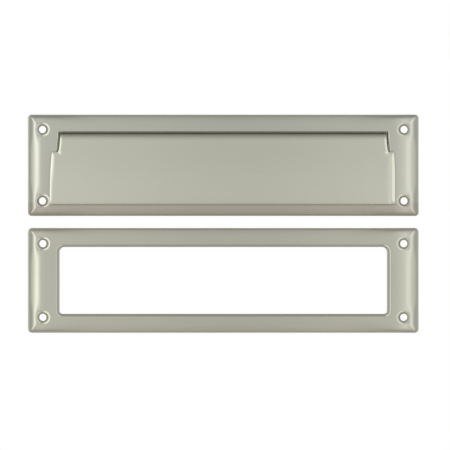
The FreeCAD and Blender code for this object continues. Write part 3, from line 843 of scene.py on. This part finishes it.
# ------------------------------------------------------------------ node helpers
class Nodes:
    """A small helper for building node trees in code."""

    def __init__(self, tree):
        tree.nodes.clear()
        self.tree = tree

    def add(self, kind, **values):
        node = self.tree.nodes.new(kind)
        for key, value in values.items():
            setattr(node, key, value)
        return node

    def link(self, a, b):
        self.tree.links.new(a, b)

    def put(self, socket, value):
        if isinstance(value, bpy.types.NodeSocket):
            self.link(value, socket)
        else:
            socket.default_value = value

    def math(self, op, a, b=None, clamp=False):
        node = self.add("ShaderNodeMath", operation=op, use_clamp=clamp)
        self.put(node.inputs[0], a)
        if b is not None:
            self.put(node.inputs[1], b)
        return node.outputs[0]

    def plus(self, a, b):
        return self.math("ADD", a, b)

    def minus(self, a, b):
        return self.math("SUBTRACT", a, b)

    def times(self, a, b):
        return self.math("MULTIPLY", a, b)

    def vary(self, value, pattern, amount):
        """value plus a 0..1 pattern centred on 0 and scaled by amount."""
        return self.plus(value, self.times(self.minus(pattern, 0.5), amount))

    def vmath(self, op, a, b=None):
        node = self.add("ShaderNodeVectorMath", operation=op)
        self.put(node.inputs[0], a)
        if b is not None:
            self.put(node.inputs[1], b)
        return node.outputs[0]

    def split(self, vector):
        node = self.add("ShaderNodeSeparateXYZ")
        self.link(vector, node.inputs[0])
        return node.outputs

    def ramp(self, x, lo, hi, start=0.0, end=1.0):
        """Smooth step from start to end as x goes from lo to hi."""
        node = self.add("ShaderNodeMapRange", interpolation_type="SMOOTHSTEP")
        if lo > hi:
            lo, hi, start, end = hi, lo, end, start
        self.put(node.inputs["Value"], x)
        self.put(node.inputs["From Min"], lo)
        self.put(node.inputs["From Max"], hi)
        self.put(node.inputs["To Min"], start)
        self.put(node.inputs["To Max"], end)
        return node.outputs["Result"]

    def ramp_mm(self, x, lo, hi):
        return self.ramp(x, lo * MM, hi * MM)

    def noise(self, vector, scale, detail, rough):
        node = self.add("ShaderNodeTexNoise")
        self.link(vector, node.inputs["Vector"])
        node.inputs["Scale"].default_value = scale
        node.inputs["Detail"].default_value = detail
        node.inputs["Roughness"].default_value = rough
        return node.outputs[0]

    def streaks(self, vector, stretch):
        """Noise with its own scale on each axis."""
        return self.noise(self.vmath("MULTIPLY", vector, stretch), scale=1.0, detail=3.0, rough=0.6)

    def mix(self, mask, a, b, amount=None):
        """Colour a to b by mask, scaled by amount if given."""
        if amount is not None:
            mask = self.times(mask, amount)
        node = self.add("ShaderNodeMix", data_type="RGBA", blend_type="MIX")
        for index, value in ((0, mask), (6, a), (7, b)):
            self.put(node.inputs[index], value)
        return node.outputs[2]

    def mixf(self, mask, a, b):
        node = self.add("ShaderNodeMix", data_type="FLOAT")
        for index, value in ((0, mask), (2, a), (3, b)):
            self.put(node.inputs[index], value)
        return node.outputs[0]

    def bump(self, height, strength):
        node = self.add("ShaderNodeBump")
        node.inputs["Strength"].default_value = strength
        node.inputs["Distance"].default_value = 0.001
        self.link(height, node.inputs["Height"])
        return node.outputs[0]

    def output(self, shader, kind="ShaderNodeOutputMaterial"):
        self.link(shader, self.add(kind).inputs["Surface"])

    def metal(self, colour, rough, normal):
        bsdf = self.add("ShaderNodeBsdfPrincipled")
        self.link(colour, bsdf.inputs["Base Color"])
        bsdf.inputs["Metallic"].default_value = 1.0
        self.link(rough, bsdf.inputs["Roughness"])
        self.link(normal, bsdf.inputs["Normal"])
        self.output(bsdf.outputs[0])
        return bsdf


def new_material(name):
    material = bpy.data.materials.new(name)
    material.use_nodes = True
    return material, Nodes(material.node_tree)


# ------------------------------------------------------------------ world: a soft studio, seen only in reflections
# Brightness of the room: (azimuth in degrees, brightness). Azimuth 0 lies behind the camera,
# + is to the right. A soft light stands on the left, a dimmer, broader one on the right.
SKY = [
    (-90, 0.85), (-70, 0.85), (-58, 0.85), (-53, 0.916), (-48, 1.21), (-43, 1.383),
    (-38.5, 1.601), (-34, 1.881), (-29, 2.215), (-25, 2.437), (-20, 2.21), (-16, 1.751),
    (-11.5, 1.448), (-8, 1.252), (-5.5, 1.118), (-3, 1.131), (0.4, 0.869), (3, 1.023),
    (5.5, 1.189), (8, 1.126), (12, 1.742), (16, 1.82), (20, 1.86), (26, 1.724), (34, 1.356),
    (42, 1.242), (55, 0.88), (70, 0.88), (90, 0.88),
]
SKY_TOP = 3.0                           # brightness at the top of the curve
SKY_GAIN = 0.60


def sky_curve(n):
    curve = n.add("ShaderNodeFloatCurve")
    line = curve.mapping.curves[0]
    spots = [((azimuth + 90.0) / 180.0, light / SKY_TOP) for azimuth, light in SKY]
    line.points[0].location = spots[0]
    for spot in spots[1:-1]:
        line.points.new(*spot)
    line.points[-1].location = spots[-1]
    curve.mapping.update()
    return curve


def make_world():
    degrees = 180.0 / math.pi
    world = bpy.data.worlds.new("studio")
    scene.world = world
    world.use_nodes = True
    n = Nodes(world.node_tree)
    x, y, z = n.split(n.add("ShaderNodeTexCoord").outputs["Generated"])
    azimuth = n.times(n.math("ARCTAN2", x, n.times(y, -1.0)), degrees)
    elevation = n.times(n.math("ARCSINE", z), degrees)
    curve = sky_curve(n)
    n.link(n.math("ADD", n.math("DIVIDE", azimuth, 180.0), 0.5, clamp=True),
           curve.inputs["Value"])
    # straight up and straight down the room is even, at brightness 1
    pole = n.ramp(n.math("ABSOLUTE", elevation), lo=48.0, hi=78.0)
    light = n.times(n.mixf(pole, curve.outputs[0], 1.0 / SKY_TOP), SKY_TOP * SKY_GAIN)
    fall = n.times(n.ramp(elevation, lo=20.0, hi=95.0, start=1.0, end=0.44),
                   n.ramp(elevation, lo=-25.0, hi=-85.0, start=1.0, end=0.70))
    # the white backdrop behind the piece
    fall = n.times(fall, n.ramp(y, lo=-0.05, hi=0.35, start=1.0, end=1.72))
    light = n.times(light, fall)
    white, warm = (1.0, 1.0, 1.0, 1), (1.0, 0.955, 0.93, 1)
    tint = n.mix(n.ramp(elevation, lo=-4.0, hi=-45.0), white, warm)
    path = n.add("ShaderNodeLightPath")
    seen = n.add("ShaderNodeBackground")
    seen.inputs["Color"].default_value = (1, 1, 1, 1)
    seen.inputs["Strength"].default_value = 1.0
    studio = n.add("ShaderNodeBackground")
    n.link(tint, studio.inputs["Color"])
    n.link(light, studio.inputs["Strength"])
    mix = n.add("ShaderNodeMixShader")
    n.link(path.outputs["Is Camera Ray"], mix.inputs[0])
    n.link(studio.outputs[0], mix.inputs[1])
    n.link(seen.outputs[0], mix.inputs[2])
    n.output(mix.outputs[0], "ShaderNodeOutputWorld")


# ------------------------------------------------------------------ materials
def tone(colour, factors):
    return tuple(c * f for c, f in zip(colour, factors)) + (1.0,)


def lighten_open_parts(n, coord, shade, holes):
    """Keeps the screw holes and the stiles from taking the painted gap shade.
    holes: half spacing in x, half spacing in z, middle z."""
    hole_keep, stile_keep = 0.92, 0.65   # how far each is kept clear
    x, y, z = n.split(coord)
    dx = n.minus(n.math("ABSOLUTE", x), holes[0] * MM)
    dz = n.minus(n.math("ABSOLUTE", n.minus(z, holes[2] * MM)), holes[1] * MM)
    reach = n.math("SQRT", n.plus(n.times(dx, dx), n.times(dz, dz)))
    near = n.times(n.ramp_mm(reach, lo=6.4, hi=5.0), n.ramp_mm(y, lo=-1.5, hi=-2.6))
    shade = n.math("MAXIMUM", shade, n.times(near, hole_keep))
    stile = n.times(n.ramp_mm(n.math("ABSOLUTE", x), lo=139.0, hi=141.0),
                    n.ramp_mm(y, lo=-3.5, hi=-4.5))
    stile = n.times(stile, n.ramp_mm(z, lo=-32.0, hi=-29.5))
    return n.mixf(n.times(stile, stile_keep), shade, 1.0)


def satin_nickel(name, colour, seed, holes=None, shade_below=None, shade_rise=None,
                 gap_reach=0.006, gap_dark=0.15, gap_open=0.72):
    """Satin nickel: fine brushing along X, patchy tone, lighter sharp edges, a dull, grainy cast back, and painted
    shade in gaps.
    shade_below: height under which painted shade warms and darkens the tone; shade_rise: heights between which
    painted shade darkens it towards the top;
    gap_*: occlusion reach in metres, and its values deep in a gap and in the open, for the painted gap shade."""
    material, n = new_material(name)
    geometry = n.add("ShaderNodeNewGeometry")
    coord = n.add("ShaderNodeTexCoord").outputs["Object"]
    shifted = n.vmath("ADD", coord, (seed * 0.37, seed * 0.11, seed * 0.53))
    fine = n.streaks(shifted, stretch=(45.0, 5200.0, 5200.0))
    broad = n.streaks(shifted, stretch=(9.0, 620.0, 620.0))
    cloud = n.noise(shifted, scale=22.0, detail=3.0, rough=0.5)
    grain = n.noise(shifted, scale=1400.0, detail=4.0, rough=0.65)
    pits = n.noise(shifted, scale=260.0, detail=2.0, rough=0.5)

    # masks: cast is 1 on faces that look to +Y, shade is the painted gap shade, 0 deep in a gap and 1 in the open
    cast = n.ramp(n.split(geometry.outputs["Normal"])[1], lo=0.25, hi=0.75)
    edge = n.ramp(geometry.outputs["Pointiness"], lo=0.53, hi=0.60)
    occlusion = n.add("ShaderNodeAmbientOcclusion", samples=6)
    occlusion.inputs["Distance"].default_value = gap_reach
    shade = n.ramp(occlusion.outputs["AO"], lo=gap_dark, hi=gap_open)
    if holes is not None:
        shade = lighten_open_parts(n, coord, shade, holes)

    # tones, as (red, green, blue) factors on the colour
    base = (*colour, 1.0)
    pale = tone(colour, (1.05, 1.05, 1.07))
    dull = tone(colour, (0.93, 0.925, 0.91))
    raw = tone(colour, (0.78, 0.765, 0.73))
    gap_shade_colour = tone(colour, (0.30, 0.29, 0.26))
    warm = tone(colour, (0.90, 0.855, 0.845))
    deep = tone(warm, (0.84, 0.835, 0.83))

    clouded = n.ramp(cloud, lo=0.3, hi=0.7)
    tint = n.mix(clouded, base, n.mix(0.35, base, dull))
    tint = n.mix(n.ramp(broad, lo=0.3, hi=0.75), tint, pale, amount=0.16)
    tint = n.mix(n.ramp(fine, lo=0.3, hi=0.7), tint, dull, amount=0.10)
    tint = n.mix(edge, tint, pale, amount=0.45)
    # painted shade: warmer, then darker along the bottom rail, below the flap's bottom edge
    if shade_below is not None:
        z = n.split(coord)[2]
        tint = n.mix(n.ramp_mm(z, lo=shade_below, hi=shade_below - 4.0), tint, warm)
        tint = n.mix(n.ramp_mm(z, lo=shade_below - 5.0, hi=shade_below - 14.0), tint, deep,
                     amount=0.5)
    if shade_rise is not None:
        # painted shade: darker towards the top of the flap
        z = n.split(coord)[2]
        tint = n.mix(n.ramp_mm(z, *shade_rise), tint, dull, amount=0.75)
    pit_share, cloud_share = 0.35, 0.45  # of the lighter tone on the cast back
    sand = n.mix(n.plus(n.times(n.ramp(pits, lo=0.2, hi=0.8), pit_share),
                        n.times(n.ramp(cloud, lo=0.25, hi=0.75), cloud_share)), raw, dull)
    tint = n.mix(cast, tint, n.mix(n.ramp(grain, lo=0.35, hi=0.75), sand, raw, amount=0.30))
    # painted shade: the colour darkens by occlusion in gaps, creases, below the flap's bottom edge and under the
    # top rail
    tint = n.mix(n.minus(1.0, shade), tint, gap_shade_colour)

    # roughness: of the brushed and the cast faces, and changes at edges, pits and gaps
    brushed_rough, cast_rough = 0.22, 0.50
    edge_polish, pit_rough, gap_rough = 0.05, 0.2, 0.15
    rough = n.vary(brushed_rough, broad, amount=0.06)
    rough = n.vary(rough, cloud, amount=0.08)
    rough = n.minus(rough, n.times(edge, edge_polish))
    rough = n.mixf(cast, rough, n.plus(cast_rough, n.times(pits, pit_rough)))
    rough = n.plus(rough, n.times(n.minus(1.0, shade), gap_rough))

    # relief heights
    fine_h, broad_h, grain_h, pit_h = 0.0007, 0.0005, 0.045, 0.05
    height = n.mixf(cast, n.plus(n.times(fine, fine_h), n.times(broad, broad_h)),
                    n.plus(n.times(grain, grain_h), n.times(pits, pit_h)))
    normal = n.bump(height, strength=0.8)

    # tangent across X; the small offset keeps it from vanishing on faces square to X
    offset = (0.0, 0.002, 0.004)
    across = n.vmath("CROSS_PRODUCT", geometry.outputs["Normal"], (1.0, 0.0, 0.0))
    tangent = n.vmath("NORMALIZE", n.vmath("ADD", across, offset))
    bsdf = n.metal(tint, rough, normal)
    anisotropy = 0.70                    # on the brushed faces only
    n.link(n.times(n.minus(1.0, cast), anisotropy), bsdf.inputs["Anisotropic"])
    n.link(tangent, bsdf.inputs["Tangent"])
    return material


def steel(name, colour, rough, stretch, seed):
    """Plated steel with drawing marks; stretch is their noise scale along each axis."""
    material, n = new_material(name)
    geometry = n.add("ShaderNodeNewGeometry")
    coord = n.add("ShaderNodeTexCoord").outputs["Object"]
    shifted = n.vmath("ADD", coord, (seed, seed * 0.3, seed * 0.7))
    lines = n.streaks(shifted, stretch)
    stain = n.noise(shifted, scale=160.0, detail=3.0, rough=0.6)
    edge = n.ramp(geometry.outputs["Pointiness"], lo=0.53, hi=0.62)
    dark = tone(colour, (0.66, 0.64, 0.60))
    light = tone(colour, (1.15, 1.15, 1.15))
    tint = n.mix(n.ramp(stain, lo=0.4, hi=0.72), (*colour, 1.0), dark)
    tint = n.mix(n.ramp(lines, lo=0.35, hi=0.7), tint, light, amount=0.4)
    tint = n.mix(edge, tint, light, amount=0.5)
    rough = n.vary(rough, lines, amount=0.16)
    rough = n.vary(rough, stain, amount=0.14)
    line_h = 0.006                       # relief height of the marks
    n.metal(tint, rough, n.bump(n.times(lines, line_h), strength=0.6))
    return material


def paint(obj, material):
    obj.data.materials.clear()
    obj.data.materials.append(material)


make_world()
paint(plate, satin_nickel(
    "satin_nickel_plate", (0.640, 0.650, 0.556), seed=1.0, shade_below=-30.0, gap_dark=0.24,
    gap_open=0.92, holes=(ExteriorPlate.hole_x, ExteriorPlate.hole_z, 0.0)))
# The flap's colour is set lighter than the plate's, though both are one nickel: painted light. Its upper part also
# gets painted shade.
paint(flap, satin_nickel(
    "satin_nickel_flap", (0.745, 0.755, 0.635), seed=2.0, gap_reach=0.012, gap_dark=0.30,
    gap_open=0.95, shade_rise=(-18.0, 14.0)))
paint(rim, satin_nickel(
    "satin_nickel_frame", (0.650, 0.650, 0.550), seed=3.0,
    holes=(InteriorFrame.hole_x, InteriorFrame.hole_z, FRAME_MID_Z)))
rod_steel = steel("rod_steel", (0.56, 0.56, 0.55), rough=0.30,
                  stretch=(60.0, 2600.0, 2600.0), seed=0.2)
spring_steel = steel("spring_steel", (0.42, 0.42, 0.42), rough=0.36,
                     stretch=(900.0, 900.0, 900.0), seed=0.5)
clip_steel = steel("clip_steel", (0.36, 0.36, 0.37), rough=0.42,
                   stretch=(3000.0, 500.0, 3000.0), seed=0.9)
paint(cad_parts["hinge_rod"], rod_steel)
for side in ("left", "right"):
    paint(springs[side], spring_steel)
    paint(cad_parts["rod_clip_%s" % side], clip_steel)

# ------------------------------------------------------------------ pieces on their bodies
for piece, body, replaced, slot in (
        (plate, "exterior", "exterior_plate", "plate_nickel"),
        (flap, "flap_body", "flap", "flap_nickel"),
        (rim, "interior", "interior_frame", "frame_nickel")):
    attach(piece, body)
    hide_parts(replaced)
for side, sign in (("right", 1), ("left", -1)):
    wire = springs[side]
    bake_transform(wire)
    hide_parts("torsion_spring_" + side)


# ------------------------------------------------------------------ floor, in metres
def floor_material():
    """Pale floor that fades out to clear with distance from its middle."""
    material, n = new_material("pale_floor")
    coord = n.add("ShaderNodeTexCoord").outputs["Object"]
    distance = n.add("ShaderNodeVectorMath", operation="LENGTH")
    n.link(coord, distance.inputs[0])
    fade = n.ramp(distance.outputs["Value"], lo=0.22, hi=0.56)
    speck = n.noise(coord, scale=60.0, detail=4.0, rough=0.6)
    darker, lighter = (0.90, 0.90, 0.89, 1), (0.94, 0.94, 0.93, 1)
    bsdf = n.add("ShaderNodeBsdfPrincipled")
    n.link(n.mix(speck, darker, lighter), bsdf.inputs["Base Color"])
    bsdf.inputs["Roughness"].default_value = 0.8
    bsdf.inputs["Emission Color"].default_value = (1.0, 1.0, 1.0, 1.0)
    bsdf.inputs["Emission Strength"].default_value = 0.24
    clear = n.add("ShaderNodeBsdfTransparent")
    mix = n.add("ShaderNodeMixShader")
    n.link(fade, mix.inputs[0])
    n.link(bsdf.outputs[0], mix.inputs[1])
    n.link(clear.outputs[0], mix.inputs[2])
    n.output(mix.outputs[0])
    return material


def make_floor():
    bm = bmesh.new()
    bmesh.ops.create_circle(bm, cap_ends=True, segments=96, radius=0.9)
    mesh = bpy.data.meshes.new("floor")
    bm.to_mesh(mesh)
    bm.free()
    floor = bpy.data.objects.new("floor", mesh)
    scene.collection.objects.link(floor)
    floor.location = (0, 0, -0.34)
    mesh.materials.append(floor_material())
    floor.visible_glossy = False


make_floor()

# ------------------------------------------------------------------ camera
CAMERA_DISTANCE = 1600.0
CAMERA_X, CAMERA_Z = 1.45, -50.93
VIEW_W, VIEW_Y = 383.9, -1.0            # width seen in the plane y = VIEW_Y
SENSOR_W = 36.0


def make_camera():
    data = bpy.data.cameras.new("camera")
    data.sensor_width = SENSOR_W
    data.lens = SENSOR_W * (CAMERA_DISTANCE + VIEW_Y) / VIEW_W
    data.clip_end = 50
    camera = bpy.data.objects.new("camera", data)
    scene.collection.objects.link(camera)
    camera.location = (CAMERA_X * MM, -CAMERA_DISTANCE * MM, CAMERA_Z * MM)
    camera.rotation_euler = (math.radians(90), 0, 0)
    scene.camera = camera


make_camera()
scene.view_settings.view_transform = "Standard"
